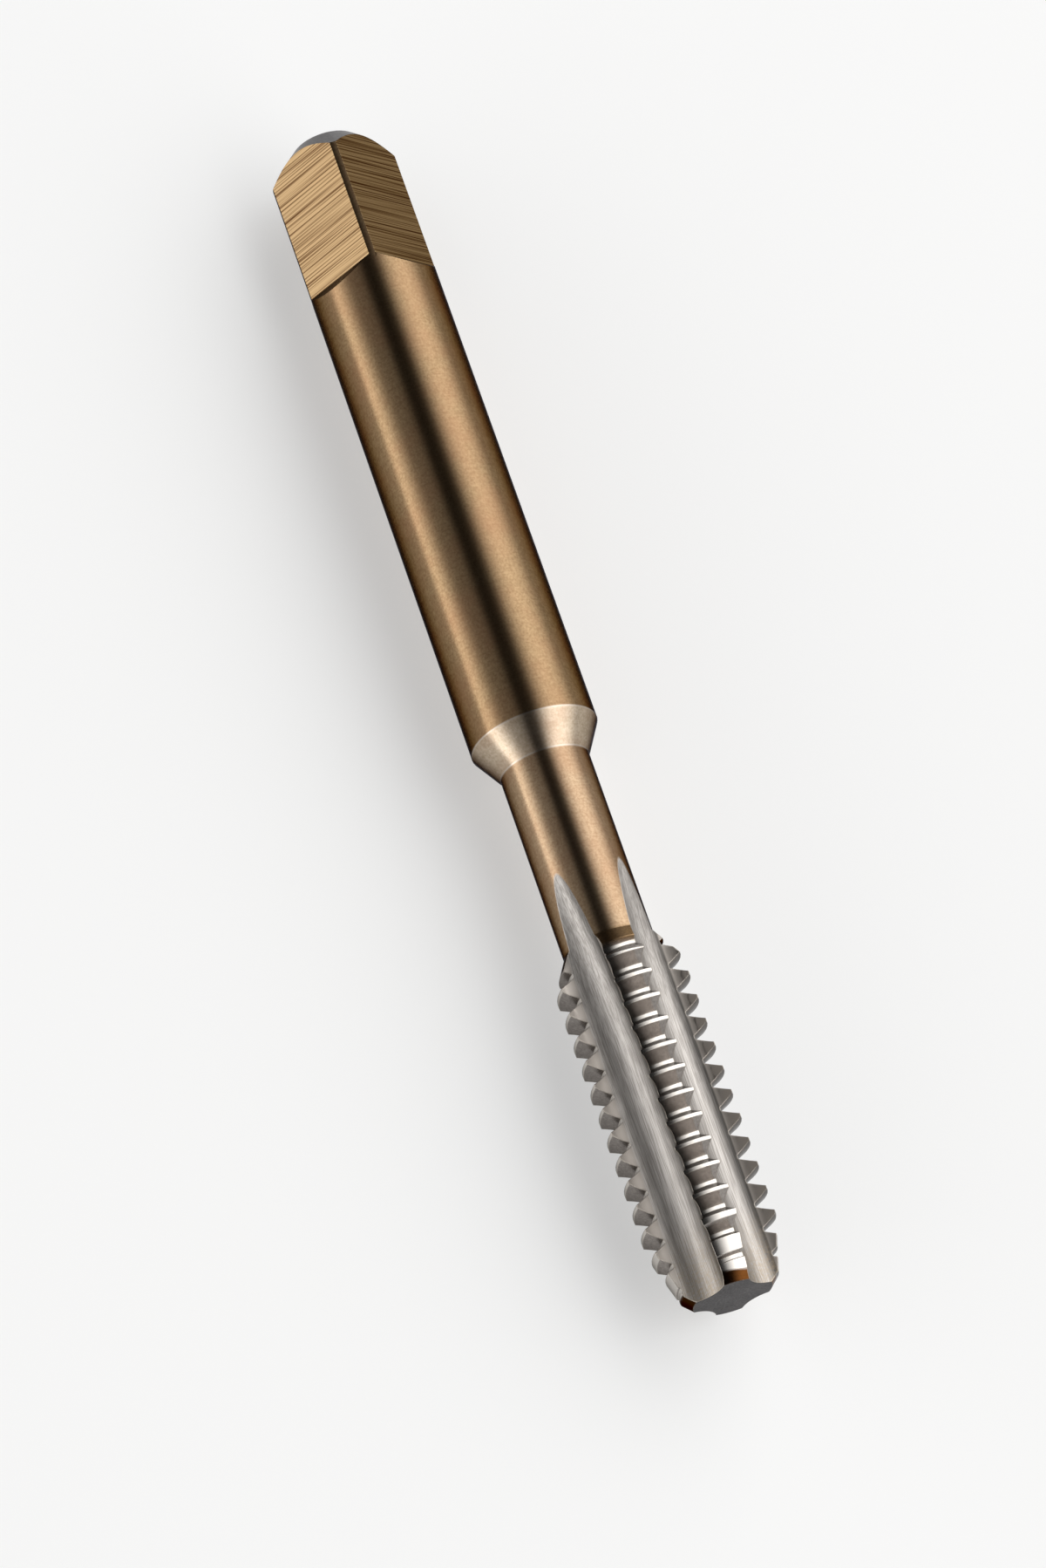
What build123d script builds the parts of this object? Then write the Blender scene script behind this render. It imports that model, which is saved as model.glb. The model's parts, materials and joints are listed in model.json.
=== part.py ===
import os
from math import ceil, radians, sqrt, tan

from build123d import *

# A hand tap for cutting right-hand 1/4-20 threads in a drilled hole, ground from one bar of
# high-speed steel. It lies on its side along X with the cutting tip towards +X, and touches the
# plane z = 0 along its shank and one of its four lands. Millimetres and degrees throughout.

# Turned blank. Distances along the tap are measured from the tip face.
length = 64.5
shank_d = 6.4
neck_d = 4.5
head_length = 30.1  # thread, neck and the cone up to the shank
cone_angle = 30  # half angle of the cones at both ends of the neck
end_bevel = 1.45  # 45 degree bevel at the driving end

# Lead: the first threads are bevelled off so that the tap enters its hole.
tip_face_d = 3.9
tip_bevel = 0.45
lead_length = 3.2

# Thread
thread_d = 6.4
pitch = 1.27
thread_depth = 0.8
crest_flat = 0.16
flank_angle = 30
thread_length = 18.55  # up to the foot of the rear cone
groove_phase = 1.036  # from the tip face to the middle of the first groove on top of the tap

# Flutes: straight grooves that end on the neck, where the grinding wheel leaves the steel.
flute_count = 4
flute_r = 1.53
core_d = 3.0  # solid core left between the flutes
flute_straight = 9.8  # length ground to full depth
wheel_r = 100

# Driving square
square_width = 4.75
square_length = 8.1
runout_angle = 45  # slope from each flat up to the shank
square_turn = -3.6  # of the square against the lands

shank_r = shank_d / 2
neck_r = neck_d / 2
thread_r = thread_d / 2
root_r = thread_r - thread_depth
tip_face_r = tip_face_d / 2
core_r = core_d / 2
rear_cone = (thread_r - neck_r) / tan(radians(cone_angle))
shank_cone = (shank_r - neck_r) / tan(radians(cone_angle))
first_flute = 180 / flute_count  # angle from the top of the tap, where a land is
first_turn = groove_phase - 2 * pitch + pitch * first_flute / 360
groove_turns = ceil((thread_length - first_turn) / pitch)
clear = 0.3  # how far a cutter reaches past the steel

# The blank and the cutters are drawn about the Z axis, from the tip face up. Plane.ZX then holds
# (distance from the tip face, radius), and this frame lays the finished tap down along X.
lying = Plane(origin=(length / 2, 0, shank_r), x_dir=(0, 0, 1), z_dir=(-1, 0, 0))

# One turn of the thread groove. It starts and ends in the middle of a flute, clear of the steel.
groove_top = (pitch - crest_flat) / 2
groove_floor = groove_top - thread_depth * tan(radians(flank_angle))
groove_rim = thread_depth + clear
with BuildPart() as groove_cutter:
    with BuildLine() as helix:
        Helix(pitch=pitch, height=pitch, radius=root_r)
    with BuildSketch(Plane(origin=helix.line @ 0, x_dir=(1, 0, 0), z_dir=helix.line % 0)):
        with BuildLine():
            Polyline(
                (0, -groove_floor),
                (thread_depth, -groove_top),
                (groove_rim, -groove_top),
                (groove_rim, groove_top),
                (thread_depth, groove_top),
                (0, groove_floor),
                close=True,
            )
        make_face()
    sweep(path=helix.line, is_frenet=True)

# One flute: a round groove that runs level, then rises with the wheel until it is out of the steel.
# So shallow an arc of the wheel is drawn as a parabola.
flute_axis_r = core_r + flute_r
wheel_rise = shank_r - core_r
wheel_run = sqrt(2 * wheel_r * wheel_rise)
with BuildPart() as flute_cutter:
    with BuildLine(Plane.ZX) as flute_path:
        level = Line((-clear, flute_axis_r), (flute_straight, flute_axis_r))
        Bezier(
            level @ 1,
            (flute_straight + wheel_run / 2, flute_axis_r),
            (flute_straight + wheel_run, flute_axis_r + wheel_rise),
        )
    with BuildSketch(Plane(origin=flute_path.line @ 0, z_dir=flute_path.line % 0)):
        Circle(flute_r)
    sweep(path=flute_path.line)

# One flat of the driving square, with its sloping run-out
flat_height = square_width / 2
cut_depth = shank_r - flat_height + clear
square_foot = length - square_length
with BuildPart() as flat_cutter:
    with BuildSketch(Plane.ZX):
        with BuildLine():
            Polyline(
                (length + clear, flat_height),
                (square_foot, flat_height),
                (square_foot - cut_depth / tan(radians(runout_angle)), flat_height + cut_depth),
                (length + clear, flat_height + cut_depth),
                close=True,
            )
        make_face()
    extrude(amount=shank_r, both=True)

with BuildPart() as thread_tap:
    # Blank, turned to its whole outline
    with BuildSketch(Plane.ZX):
        with BuildLine():
            Polyline(
                (0, 0),
                (0, tip_face_r),
                (tip_bevel, tip_face_r + tip_bevel),
                (lead_length, thread_r),
                (thread_length - rear_cone, thread_r),
                (thread_length, neck_r),
                (head_length - shank_cone, neck_r),
                (head_length, shank_r),
                (length - end_bevel, shank_r),
                (length, shank_r - end_bevel),
                (length, 0),
                close=True,
            )
        make_face()
    revolve(axis=Axis.Z)

    # Driving square
    with PolarLocations(radius=0, count=4, start_angle=45 + square_turn):
        add(flat_cutter.part, mode=Mode.SUBTRACT)

    # Flutes, which leave four lands, and then the thread across the lands, turn by turn
    with PolarLocations(radius=0, count=flute_count, start_angle=first_flute):
        add(flute_cutter.part, mode=Mode.SUBTRACT)
    for turn in range(groove_turns):
        with Locations((0, 0, first_turn + turn * pitch)):
            add(groove_cutter.part, rotation=(0, 0, first_flute), mode=Mode.SUBTRACT)

with BuildPart() as lying_tap:
    with Locations(lying.location):
        add(thread_tap.part)

lying_tap.part.label = "thread_tap"
os.makedirs("parts", exist_ok=True)
export_step(lying_tap.part, "parts/thread_tap.step")
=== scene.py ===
import bpy
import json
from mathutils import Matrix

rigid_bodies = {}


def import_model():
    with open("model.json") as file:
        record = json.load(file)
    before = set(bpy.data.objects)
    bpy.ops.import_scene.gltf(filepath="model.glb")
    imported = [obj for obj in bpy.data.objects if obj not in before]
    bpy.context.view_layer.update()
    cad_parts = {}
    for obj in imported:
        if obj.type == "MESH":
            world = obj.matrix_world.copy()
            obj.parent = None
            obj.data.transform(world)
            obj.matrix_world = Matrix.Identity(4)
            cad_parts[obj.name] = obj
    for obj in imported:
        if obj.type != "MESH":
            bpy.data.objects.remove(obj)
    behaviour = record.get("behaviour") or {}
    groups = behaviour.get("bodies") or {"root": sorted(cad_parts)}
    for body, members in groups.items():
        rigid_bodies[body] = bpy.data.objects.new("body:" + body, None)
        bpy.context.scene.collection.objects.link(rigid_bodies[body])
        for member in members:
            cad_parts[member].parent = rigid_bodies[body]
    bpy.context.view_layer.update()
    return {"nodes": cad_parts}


# %% [markdown]
# # Dressing a hand tap
# A hand tap is a hardened steel screw with four flutes: a wrench turns it by the square on its
# shank, and its teeth cut a thread into a drilled hole. This lesson takes the finished solid of
# the tap, gives its steel the finishes that the workshop left on it, and lights it on a pale
# floor. Blender opens with a cube, a lamp and a camera of its own, so these are deleted first.

# %% Load the solid tap
bpy.ops.object.select_all(action="SELECT")
bpy.ops.object.delete()
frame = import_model()
tap = frame["nodes"]["thread_tap"]

# %% [markdown]
# The tap lies along X with its tip towards +X, and its axis runs one shank radius above the
# floor. The finishes change at real places on it, such as the end of the thread or the shoulder
# of the shank, so the sizes that say where are named here once, in millimetres. Places along
# the tap are counted from the tip face.

# %% Sizes of the tap
import json
from math import cos, pi, radians, sin, tan

from mathutils import Vector

tap_length = 64.5
shank_radius = 3.2
bevel_length, bevel_radius = 0.45, 2.4  # where the bevel at the tip meets the lead
lead_taper = 0.291  # rise of the lead's crests for each millimetre along the tap
root_radius = 2.405
thread_end = 17.6
neck_start = 18.55
shoulder_start, shoulder_end = 28.45, 30.1
square_start = 56.4
square_bevel_start = 62.5
half_square = 2.375
square_turn = 41.4  # degrees from straight up to the nearest flat
flute_radius = 1.53
flute_centre = 3.03  # from the axis, where the flute runs level
flute_level = 9.8  # length of the level part
grinding_wheel_radius = 100
print("shank", 2 * shank_radius, "mm and square", 2 * half_square, "mm across")

# %% [markdown]
# Colours are picked as sRGB hex values, the way a paint program shows them, while Blender's
# shaders count in linear light. One function turns every colour, so that a colour in this file
# looks on the tap as it looks in a colour picker.


# %% A colour from its hex value
def colour(hex_value):
    channels = [int(hex_value[i:i + 2], 16) / 255 for i in (1, 3, 5)]
    linear = [c / 12.92 if c <= 0.04045 else ((c + 0.055) / 1.055) ** 2.4 for c in channels]
    return (*linear, 1)


print("a mid grey of #808080 is", round(colour("#808080")[0], 3), "in linear light")

# %% [markdown]
# A material is a small network of nodes. Adding a node always takes the same steps: make it,
# set its options, then fill each socket with a number or with another node. One function does
# them all, so each later line reads as one step of the recipe.


# %% Add one node
def add(tree, kind, *sockets, **options):
    node = tree.nodes.new("ShaderNode" + kind)
    named = options.pop("named", {})
    for option, value in options.items():
        setattr(node, option, value)
    for key, value in [*enumerate(sockets), *named.items()]:
        source = value.outputs[0] if isinstance(value, bpy.types.Node) else value
        if isinstance(source, bpy.types.NodeSocket):
            tree.links.new(source, node.inputs[key])
        elif source is not None:
            node.inputs[key].default_value = source
    return node


def empty_material(name):
    material = bpy.data.materials.new(name)
    material.use_nodes = True
    material.node_tree.nodes.clear()
    return material, material.node_tree


hardened_steel, steel = empty_material("hardened_tool_steel_ground_and_tempered")
print("made", hardened_steel.name)

# %% [markdown]
# All finishes belong to one bar of steel, so one material carries them, and each is kept to its
# own place by a mask. The masks need to know where on the tap a point lies. Object coordinates
# give that in metres, and a few nodes turn them into what a machinist would measure: the
# distance from the tip, and the distance from the axis.

# %% Where on the tap
texture_place = add(steel, "TexCoord")
in_metres = texture_place.outputs["Object"]
in_mm = add(steel, "VectorMath", in_metres, (1000, 1000, 1000), operation="MULTIPLY")
axes = add(steel, "SeparateXYZ", in_mm)
from_tip = add(steel, "Math", tap_length / 2, axes.outputs["X"], operation="SUBTRACT")
sideways = axes.outputs["Y"]
upwards = add(steel, "Math", axes.outputs["Z"], shank_radius, operation="SUBTRACT")
section = add(steel, "CombineXYZ", sideways, upwards, 0.0)
radius = add(steel, "VectorMath", section, operation="LENGTH").outputs["Value"]
facing = add(steel, "SeparateXYZ", texture_place.outputs["Normal"])
print("nodes so far:", len(steel.nodes))

# %% [markdown]
# The four flutes lie on the diagonals, so folding the section over both axes with two absolute
# values lays all four on one. A flute is a round groove: its wall is where a point lies one
# flute radius from the groove's middle line. That line rises at its end along the rim of the
# grinding wheel that cut it, which a shallow parabola follows.

# %% Mask of the flutes
beyond = add(steel, "Math", from_tip, flute_level, operation="SUBTRACT")
past_level = add(steel, "Math", beyond, 0.0, operation="MAXIMUM")
squared_run = add(steel, "Math", past_level, past_level, operation="MULTIPLY")
rise = add(steel, "Math", squared_run, 2 * grinding_wheel_radius, operation="DIVIDE")
from_axis_to_middle = add(steel, "Math", rise, flute_centre, operation="ADD")
diagonal = add(steel, "Math", from_axis_to_middle, 2 ** -0.5, operation="MULTIPLY")
folded = add(steel, "VectorMath", section, operation="ABSOLUTE")
groove_middle = add(steel, "CombineXYZ", diagonal, diagonal, 0.0)
to_middle = add(steel, "VectorMath", folded, groove_middle, operation="DISTANCE")
past_wall = add(steel, "Math", to_middle.outputs["Value"], flute_radius, operation="SUBTRACT")
off_wall = add(steel, "Math", past_wall, operation="ABSOLUTE")
in_flute = add(steel, "MapRange", off_wall, 0.012, 0.035, 1.0, 0.0)
print("flute mask at", flute_centre, "mm from the axis")

# %% [markdown]
# The square's four flats are found the same way: the section is turned until the flats face
# the axes, and folded, so that every flat lies half a square from the axis. Some thin lines on
# the round shank lie at that distance too, so the mask holds only from just before the square.
# The end faces are found by the way they face, along X.

# %% Masks of the square, the thread and the ends
squared = add(steel, "VectorRotate", section, rotation_type="Z_AXIS",
              named={"Angle": radians(square_turn)})
quarter = add(steel, "VectorMath", squared, operation="ABSOLUTE")
quarter_parts = add(steel, "SeparateXYZ", quarter)
outermost = add(steel, "Math", quarter_parts.outputs["X"], quarter_parts.outputs["Y"],
                operation="MAXIMUM")
past_flat = add(steel, "Math", outermost, half_square, operation="SUBTRACT")
off_flat = add(steel, "Math", past_flat, operation="ABSOLUTE")
like_flat = add(steel, "MapRange", off_flat, 0.01, 0.03, 1.0, 0.0)
near_square = add(steel, "MapRange", from_tip, square_start - 0.3, square_start - 0.2, 0.0, 1.0)
on_flat = add(steel, "Math", like_flat, near_square, operation="MULTIPLY")
on_thread = add(steel, "MapRange", from_tip, thread_end, thread_end + 0.2, 1.0, 0.0)
on_rear_cone = add(steel, "MapRange", from_tip, neck_start - 0.05, neck_start + 0.15, 1.0, 0.0)
on_neck = add(steel, "MapRange", from_tip, shoulder_start - 0.1, shoulder_start, 1.0, 0.0)
on_shank = add(steel, "MapRange", from_tip, shoulder_end - 0.02, shoulder_end + 0.02, 0.0, 1.0)
faces_back = add(steel, "MapRange", facing.outputs["X"], -0.15, -0.3, 0.0, 1.0)
last_of_all = add(steel, "MapRange", from_tip, square_bevel_start, square_bevel_start + 0.1,
                  0.0, 1.0)
on_square_end = add(steel, "Math", faces_back, last_of_all, operation="MULTIPLY")
on_tip_face = add(steel, "MapRange", facing.outputs["X"], 0.9, 0.97, 0.0, 1.0)
print("nodes so far:", len(steel.nodes))

# %% [markdown]
# Every tool leaves its own marks. Turning and cylindrical grinding leave fine rings round the
# shank, a grinding wheel leaves long scratches down each flute, and the cutter that made the
# square leaves coarse lines straight across each flat. A noise texture gives such lines when
# it is squeezed hard in one direction: many waves to the millimetre across the line, and few
# along it. The real rings are a few hundredths of a millimetre wide, too fine to see here, so
# they are drawn about a tenth wide.


# %% Marks of the tools
def squeezed_place(waves_along, waves_across):
    stretched = [add(steel, "Math", direction, waves, operation="MULTIPLY")
                 for direction, waves in ((from_tip, waves_along), (sideways, waves_across),
                                          (upwards, waves_across))]
    return add(steel, "CombineXYZ", *stretched)


rings = add(steel, "TexNoise", squeezed_place(10.0, 1.1),
            named={"Scale": 1.0, "Detail": 3.0, "Roughness": 0.6})
scratches = add(steel, "TexNoise", squeezed_place(0.5, 20.0),
                named={"Scale": 1.0, "Detail": 3.0, "Roughness": 0.65})
cutter_lines = add(steel, "TexNoise", squeezed_place(12.0, 0.07),
                   named={"Scale": 1.0, "Detail": 1.0, "Roughness": 0.7})
grain = add(steel, "TexNoise", in_mm, named={"Scale": 8.0, "Detail": 2.0, "Roughness": 0.6})
blotches = add(steel, "TexNoise", in_mm, named={"Scale": 0.45, "Detail": 3.0, "Roughness": 0.55})
print("five patterns of tool marks and stains")

# %% [markdown]
# Tempering in a furnace leaves a thin film of oxide, straw to bronze in colour, wherever the
# steel isn't ground again. It is uneven from place to place, so each stretch of the tap mixes
# two tones by the rings and the grain, and the blotches stain it. The shoulder is the palest.

# %% Bronze film on the shank and neck
film_spread = add(steel, "MixRGB", 0.3, grain, rings)
film_tone = add(steel, "MapRange", film_spread, 0.36, 0.64, 0.0, 1.0)
shank_film = add(steel, "MixRGB", film_tone, colour("#786147"), colour("#8D7659"))
neck_film = add(steel, "MixRGB", film_tone, colour("#89725A"), colour("#9E886E"))
shoulder_film = add(steel, "MixRGB", film_tone, colour("#A3937E"), colour("#BAAA97"))
film = add(steel, "MixRGB", on_neck, shoulder_film, neck_film)
film = add(steel, "MixRGB", on_shank, film, shank_film)
stain = add(steel, "MapRange", blotches, 0.42, 0.68, 0.0, 0.35)
film = add(steel, "MixRGB", stain, film, colour("#86634A"))
print("bronze film in three stretches")

# %% [markdown]
# The flutes were ground after tempering, so they are bare steel: grey, a little warm, and
# streaked by the wheel. One wall of each flute is drawn darker towards its edge as painted
# shade, and a brown stain thins out from the tip. Farther from the axis than the roots of the
# thread, the same ground surface is the faces of the teeth, which are plainer.

# %% Bare steel in the flutes
stain_end = 4.0
flute_tone = add(steel, "MapRange", scratches, 0.41, 0.59, 0.0, 1.0)
flute_steel = add(steel, "MixRGB", flute_tone, colour("#938E89"), colour("#B6B1AC"))
around_axis = add(steel, "Math", sideways, upwards, operation="ARCTAN2")
in_quarter = add(steel, "Math", around_axis, pi / 2, operation="FLOORED_MODULO")
# painted shade: one wall of each flute is darkened towards its edge
past_middle = add(steel, "MapRange", in_quarter, radians(47), radians(55), 0.0, 1.0)
towards_edge = add(steel, "MapRange", radius, 1.8, 2.34, 0.0, 0.8)
painted_shade_on_wall = add(steel, "Math", past_middle, towards_edge, operation="MULTIPLY")
flute_steel = add(steel, "MixRGB", painted_shade_on_wall, flute_steel, colour("#3A3734"))
near_tip = add(steel, "MapRange", from_tip, 0.3, stain_end, 0.6, 0.0)
brown_stain = add(steel, "Math", near_tip, film_tone, operation="MULTIPLY")
flute_steel = add(steel, "MixRGB", brown_stain, flute_steel, colour("#9C8B73"))
tooth_face = add(steel, "MapRange", radius, 2.36, 2.44, 0.0, 1.0)
flute_steel = add(steel, "MixRGB", tooth_face, flute_steel, colour("#A19A93"))
print("the stain ends", stain_end, "mm from the tip")

# %% [markdown]
# The thread is bare steel too, and its crests and roots are drawn lighter than its flanks, a
# painted highlight. A crest is found by its radius, which grows along the lead until it reaches
# the full radius of the thread.

# %% Bare steel on the thread
past_bevel = add(steel, "Math", from_tip, bevel_length, operation="SUBTRACT")
climb = add(steel, "Math", past_bevel, lead_taper, operation="MULTIPLY")
lead_slope = add(steel, "Math", climb, bevel_radius, operation="ADD")
crest_radius = add(steel, "Math", lead_slope, shank_radius, operation="MINIMUM")
below_crest = add(steel, "Math", crest_radius, radius, operation="SUBTRACT")
on_crest = add(steel, "MapRange", below_crest, 0.02, 0.05, 1.0, 0.0)
in_root = add(steel, "MapRange", radius, root_radius, root_radius + 0.045, 1.0, 0.0)
# painted highlight: crests and roots are drawn lighter than the flanks
crest_and_root_highlight = add(steel, "Math", on_crest, in_root, operation="MAXIMUM")
flank_steel = add(steel, "MixRGB", film_tone, colour("#88827D"), colour("#9F9994"))
thread_steel = add(steel, "MixRGB", crest_and_root_highlight, flank_steel, colour("#BFBAB4"))
print("crests follow a lead that rises", lead_taper, "mm in each millimetre")

# %% [markdown]
# The flats of the square were cut before tempering, so their coarse lines hold light and dark
# film side by side. The far end is scaly and dark. With every stretch known, the masks lay the
# colours over one another, each on its own place.

# %% Square, ends and all stretches together
rear_cone_film = add(steel, "MixRGB", film_tone, colour("#705B44"), colour("#866E51"))
line_tone = add(steel, "MapRange", cutter_lines, 0.36, 0.56, 0.0, 1.0)
flat_film = add(steel, "MixRGB", line_tone, colour("#4A3421"), colour("#8C7556"))
end_scale = add(steel, "MixRGB", film_tone, colour("#656364"), colour("#7E7B7B"))
tone = add(steel, "MixRGB", on_rear_cone, film, rear_cone_film)
tone = add(steel, "MixRGB", on_thread, tone, thread_steel)
tone = add(steel, "MixRGB", on_flat, tone, flat_film)
tone = add(steel, "MixRGB", on_square_end, tone, end_scale)
print("nodes so far:", len(steel.nodes))

# %% [markdown]
# The bevel at the tip got hot when it was ground, and steel that gets hot turns from straw
# through brown. Across the tap it runs from dark brown on one side to orange on the other,
# partly the tint and partly painted shade. The tint ends along a slanting line and lies outside
# the flutes, which were ground last. The tip face itself is dark.

# %% Heat tint on the bevel
tint_length = 0.44
slant = add(steel, "MapRange", sideways, -0.6, 1.4, -0.05, 0.24)
slanted = add(steel, "Math", from_tip, slant, operation="ADD")
hot_bevel = add(steel, "MapRange", slanted, tint_length, tint_length + 0.1, 1.0, 0.0)
# partly painted shade: the heat tint is darker on one side of the tap than on the other
heat = add(steel, "MapRange", sideways, -0.2, 1.2, 0.0, 1.0)
heat_tint_and_shade = add(steel, "MixRGB", heat, colour("#321D0E"), colour("#935C2C"))
tone = add(steel, "MixRGB", hot_bevel, tone, heat_tint_and_shade)
tone = add(steel, "MixRGB", in_flute, tone, flute_steel)
tip_scale = add(steel, "MixRGB", film_tone, colour("#343233"), colour("#575455"))
tone = add(steel, "MixRGB", on_tip_face, tone, tip_scale)
print("heat tint on the first", tint_length, "mm")

# %% [markdown]
# No edge of a used tool is perfectly sharp. The Bevel node rounds the shading of every edge, as
# a tiny real radius would, and less beyond the middle of the shank, where the crisp edges of
# the square are. It works in metres.
# Where its normal turns away from the surface's own, there is an edge, so that difference also
# marks where the thread was rubbed bright. Two thin rings at the edges of the shoulder are drawn
# lighter, a painted highlight.

# %% Rounded and worn edges
rounding, crisp_rounding = 0.00008, 0.00002
edge_radius = add(steel, "MapRange", from_tip, 50.0, 51.0, rounding, crisp_rounding)
rounded = add(steel, "Bevel", edge_radius, samples=6)
own_normal = add(steel, "NewGeometry").outputs["Normal"]
agreement = add(steel, "VectorMath", rounded, own_normal, operation="DOT_PRODUCT")
edge = add(steel, "MapRange", agreement.outputs["Value"], 0.985, 0.90, 0.0, 0.75)
patchy = add(steel, "MapRange", grain, 0.40, 0.60, 0.35, 1.0)
patchy_edge = add(steel, "Math", edge, patchy, operation="MULTIPLY")
rubbed_part = add(steel, "MapRange", from_tip, thread_end - 0.8, thread_end - 0.4, 0.6, 0.0)
worn_edge = add(steel, "Math", patchy_edge, rubbed_part, operation="MULTIPLY")
tone = add(steel, "MixRGB", worn_edge, tone, colour("#D2C8B8"))
# painted highlight: a thin light ring along each edge of the shoulder
for ring in (shoulder_start, shoulder_end):
    past_ring = add(steel, "Math", from_tip, ring, operation="SUBTRACT")
    off_ring = add(steel, "Math", past_ring, operation="ABSOLUTE")
    ring_highlight = add(steel, "MapRange", off_ring, 0.015, 0.06, 0.6, 0.0)
    tone = add(steel, "MixRGB", ring_highlight, tone, colour("#BDB3A8"))
print("edges rounded by", 1000 * rounding, "mm, and by", 1000 * crisp_rounding, "on the square")

# %% [markdown]
# The same marks also catch the light as relief, so a Bump node raises them by a few
# thousandths of a millimetre, most on the square. Its distance is in metres.

# %% Relief of the tool marks
mark_height = 0.00001
relief = add(steel, "MixRGB", in_flute, rings, scratches)
relief = add(steel, "MixRGB", on_flat, relief, cutter_lines)
relief_depth = add(steel, "MapRange", on_flat, 0.0, 1.0, 0.15, 0.45)
print("relief of", 1000 * mark_height, "mm at most")

# %% [markdown]
# The mesh has a seam along the top of every turned surface, where the shading jumps by a few
# degrees and would draw a straight line through each reflection. A turned surface faces straight
# away from the axis, apart from its slope, so its normal is built afresh from the place of each
# point: the slope comes from the normal's X part and the rest points outwards. The tap lies
# unturned, so its own directions are also those of the scene. On the thread the normal is also
# turned a little round the axis, as if the lands fell away behind their cutting edges. That
# angle is larger than a real relief would give. It was chosen for where the highlights fall.

# %% Clean normals on turned surfaces
land_turn = 7.5  # degrees
slope = add(steel, "SeparateXYZ", rounded).outputs["X"]
slope_squared = add(steel, "Math", slope, slope, operation="MULTIPLY")
rest_squared = add(steel, "Math", 1.0, slope_squared, operation="SUBTRACT")
outward_part = add(steel, "Math", rest_squared, operation="SQRT")
from_axis = add(steel, "CombineXYZ", 0.0, sideways, upwards)
back = add(steel, "Math", sideways, -1.0, operation="MULTIPLY")
around = add(steel, "CombineXYZ", 0.0, upwards, back)
lean = add(steel, "Math", on_thread, tan(radians(land_turn)), operation="MULTIPLY")
leaning = add(steel, "VectorMath", around, operation="SCALE", named={"Scale": lean})
relieved = add(steel, "VectorMath", leaning, from_axis, operation="ADD")
outward = add(steel, "VectorMath", relieved, operation="NORMALIZE")
outward = add(steel, "VectorMath", outward, operation="SCALE", named={"Scale": outward_part})
along = add(steel, "CombineXYZ", slope, 0.0, 0.0)
turned_normal = add(steel, "VectorMath", outward, along, operation="ADD")
ground_in = add(steel, "Math", in_flute, on_flat, operation="MAXIMUM")
on_ends = add(steel, "Math", on_square_end, on_tip_face, operation="MAXIMUM")
not_turned = add(steel, "Math", ground_in, on_ends, operation="MAXIMUM")
clean_normal = add(steel, "Mix", data_type="VECTOR")
factor_socket, first_socket, second_socket, mixed_socket = 0, 4, 5, 1  # of a vector Mix
for socket, source in ((factor_socket, not_turned), (first_socket, turned_normal),
                       (second_socket, rounded)):
    steel.links.new(source.outputs[0], clean_normal.inputs[socket])
marked = add(steel, "Bump", relief_depth, mark_height,
             named={"Height": relief, "Normal": clean_normal.outputs[mixed_socket]})
print("normals cleaned, and turned by", land_turn, "degrees on the thread")

# %% [markdown]
# Metal has no colour under its surface: its Base Color is the colour of its reflection. Fine
# parallel marks smear reflections across themselves, along the tap on the turned shank and
# across it in the flutes, which is what Anisotropic does along the tangent. Specular Tint is the
# reflection at a grazing angle: nearly black on the film, which darkens the rims of the shank,
# neck and shoulder as painted shade, and lighter on bare steel and on the ends.

# %% The shader
turned = add(steel, "Math", 1.0, in_flute, operation="SUBTRACT")
smear_turn = add(steel, "Math", turned, 0.25, operation="MULTIPLY")
film_roughness = add(steel, "MapRange", on_thread, 0.0, 1.0, 0.30, 0.22)
ground_roughness = add(steel, "MapRange", in_flute, 0.0, 1.0, film_roughness, 0.39)
roughness = add(steel, "MapRange", on_flat, 0.0, 1.0, ground_roughness, 0.28)
# painted shade: a near-black grazing reflection darkens the rims of the film
film_grazing_painted_shade = (0.02, 0.05, 0.11, 1)
steel_grazing = (0.4, 0.4, 0.4, 1)
end_grazing = (0.7, 0.7, 0.7, 1)
on_steel = add(steel, "Math", on_thread, in_flute, operation="MAXIMUM")
grazing_tint = add(steel, "MixRGB", on_steel, film_grazing_painted_shade, steel_grazing)
grazing_tint = add(steel, "MixRGB", on_ends, grazing_tint, end_grazing)
metallic = 1.0
surface = add(steel, "BsdfPrincipled", tone, metallic, roughness, named={
    "Normal": marked,
    "Tangent": add(steel, "Tangent", direction_type="RADIAL", axis="X"),
    "Anisotropic": 0.7,
    "Anisotropic Rotation": smear_turn,
    "Specular Tint": grazing_tint,
})
add(steel, "OutputMaterial", surface)
tap.data.materials[0] = hardened_steel
print("steel dressed with", len(steel.nodes), "nodes")

# %% [markdown]
# The floor is a sheet of matt white board, wide enough to reach past every view. A plain
# diffuse surface keeps the soft shadow of the tap. To look white without more light on the tap,
# the board shows a share of plain white to the camera and to every mirror, and to nothing else.

# %% Floor
floor_lift = 0.4  # share of plain white in what the camera and every mirror see
white_board, board = empty_material("matt_white_board")
rays = add(board, "LightPath").outputs
seen = add(board, "Math", rays["Is Camera Ray"], rays["Is Glossy Ray"], operation="MAXIMUM")
seen = add(board, "Math", seen, rays["Is Transmission Ray"], operation="MAXIMUM")
lift = add(board, "Math", seen, floor_lift, operation="MULTIPLY")
matt = add(board, "BsdfDiffuse", colour("#EFEFEE"))
plain_white = add(board, "Emission", colour("#FFFFFF"), 1.0)
add(board, "OutputMaterial", add(board, "MixShader", lift, matt, plain_white))
bpy.ops.object.select_all(action="DESELECT")
bpy.ops.mesh.primitive_plane_add(size=6)
floor = bpy.context.object
floor.name = "studio_floor"
floor.data.materials.append(white_board)
print("floor of", tuple(floor.dimensions), "metres")

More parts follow.
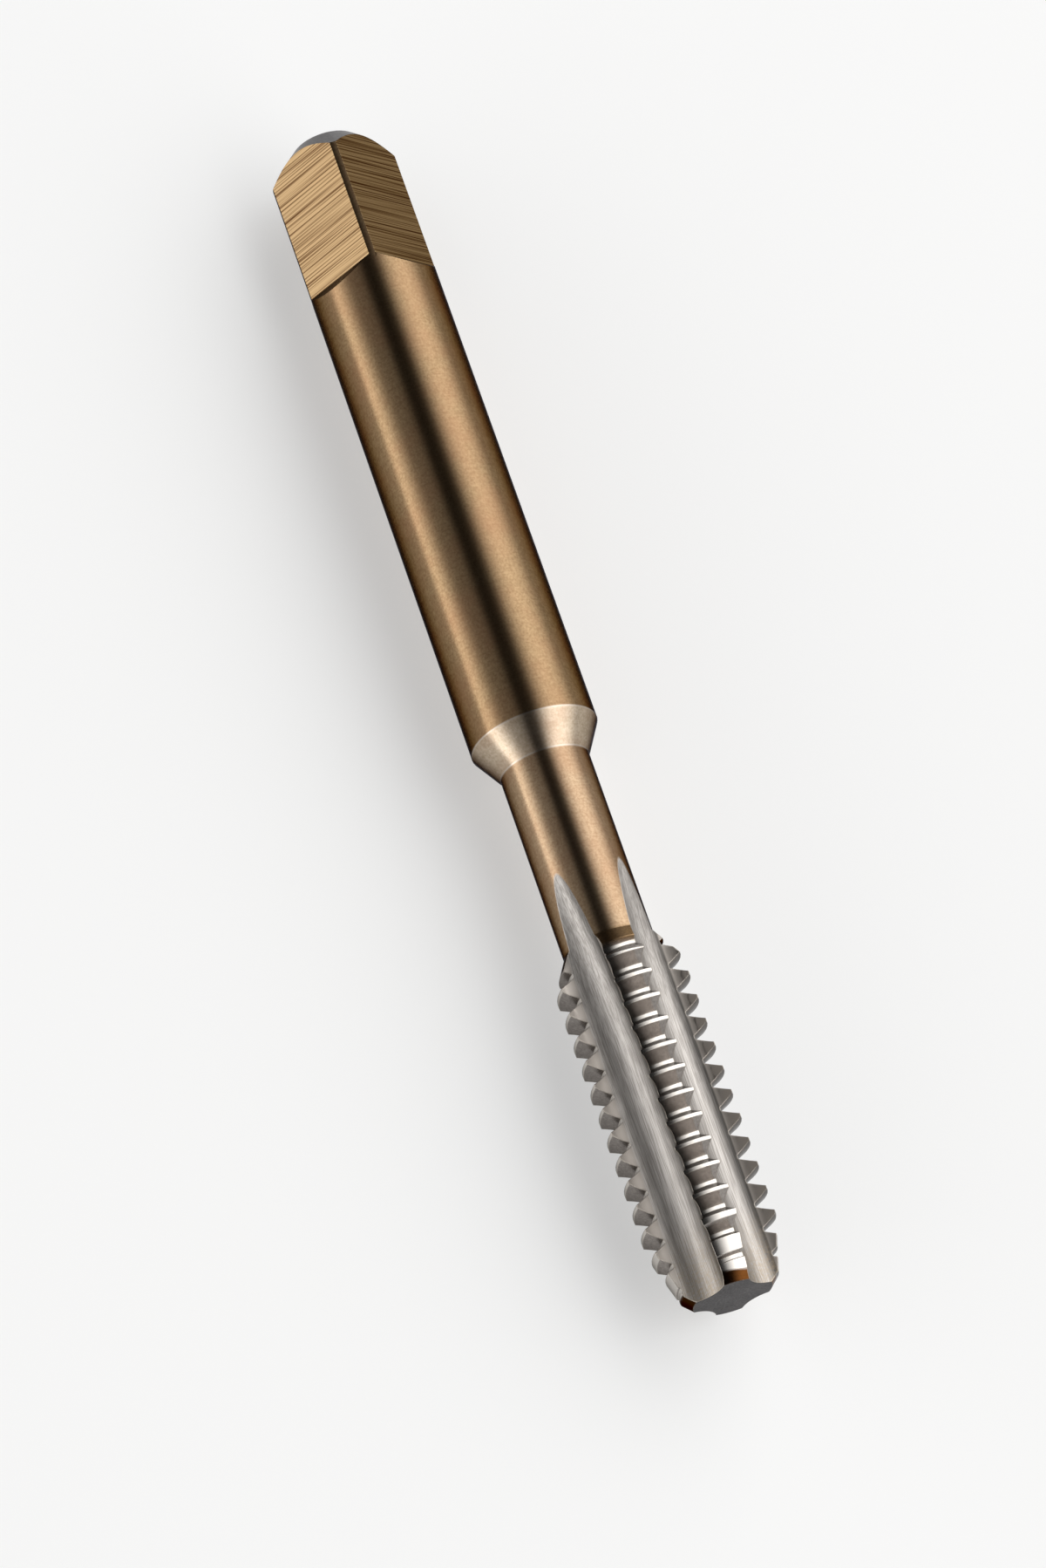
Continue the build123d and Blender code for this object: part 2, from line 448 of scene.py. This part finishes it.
# %% [markdown]
# A polished bar is a mirror: it shows the lamps and the dark between them. Two long softboxes
# stand beside the tap, and their cloth fades towards its edges, which draws the two soft bands
# along the shank with a dark line between them. Each lamp is set by a few angles, in degrees
# from straight up towards +Y, with the level that its cloth has there.


# %% Two long softboxes
def softbox(name, middle, levels, brightness, distance=0.8, length=3.0):
    half_angle = max(abs(angle - middle) for angle, level in levels)
    width = 2 * distance * tan(radians(half_angle))
    lamp = bpy.data.lights.new(name, "AREA")
    lamp.shape = "RECTANGLE"
    lamp.size, lamp.size_y = length, width
    lamp.energy = pi * length * width * brightness
    lamp.use_nodes = True
    cloth = lamp.node_tree
    place = add(cloth, "NewGeometry").outputs["Parametric"]
    height = add(cloth, "SeparateXYZ", place).outputs["Y"]
    fade = add(cloth, "ValToRGB", height)
    fade.color_ramp.interpolation = "EASE"
    side = -1 if middle < 0 else 1
    stops = []
    for angle, level in levels:
        off_middle = side * tan(radians(angle - middle)) * distance
        stops.append((0.5 - off_middle / width, level))
    while len(fade.color_ramp.elements) < len(stops):
        fade.color_ramp.elements.new(0.5)
    for stop, (spot, level) in zip(fade.color_ramp.elements, sorted(stops)):
        stop.position = spot
        stop.color = (level, level, level, 1)
    cloth.links.new(fade.outputs["Color"], cloth.nodes["Emission"].inputs["Color"])
    stand = bpy.data.objects.new(name, lamp)
    bpy.context.collection.objects.link(stand)
    away = Vector((0, sin(radians(middle)), cos(radians(middle))))
    stand.location = away * distance
    stand.rotation_euler = away.to_track_quat("Z", "Y").to_euler()
    stand.visible_camera = False
    print(name, "is", round(width, 2), "m wide and", length, "m long")


softbox("left_softbox", -54, [(-92, 1.3), (-48, 0.15), (-34, 0.13), (-16, 0)], 3.0)
softbox("right_softbox", 46, [(4, 0), (46, 1.0), (92, 0.15)], 3.0)

# %% [markdown]
# The room around the lamps is nearly dark, so that the steel has something dark to mirror
# between them.

# %% The room
room = bpy.data.worlds.new("dim_studio")
bpy.context.scene.world = room
room.use_nodes = True
room.node_tree.nodes["Background"].inputs["Color"].default_value = colour("#181818")
print("the room is nearly dark")

# %% [markdown]
# The camera looks down on the tap with a long lens from about 32 centimetres, so that the tap
# runs from the upper left to the lower right of an upright picture.

# %% Camera
camera_place = (0.131069, -0.061527, 0.286634)
camera_turn = (26.094, -3.744, 72.174)  # degrees about X, Y and Z
lens = bpy.data.cameras.new("studio_camera")
lens.lens = 151.03
lens.clip_start = 0.01
camera = bpy.data.objects.new("studio_camera", lens)
bpy.context.collection.objects.link(camera)
camera.location = camera_place
camera.rotation_euler = [radians(angle) for angle in camera_turn]
bpy.context.scene.camera = camera
bpy.context.scene.view_settings.view_transform = "Standard"
print("camera", round(Vector(camera_place).length, 3), "metres from the middle of the floor")
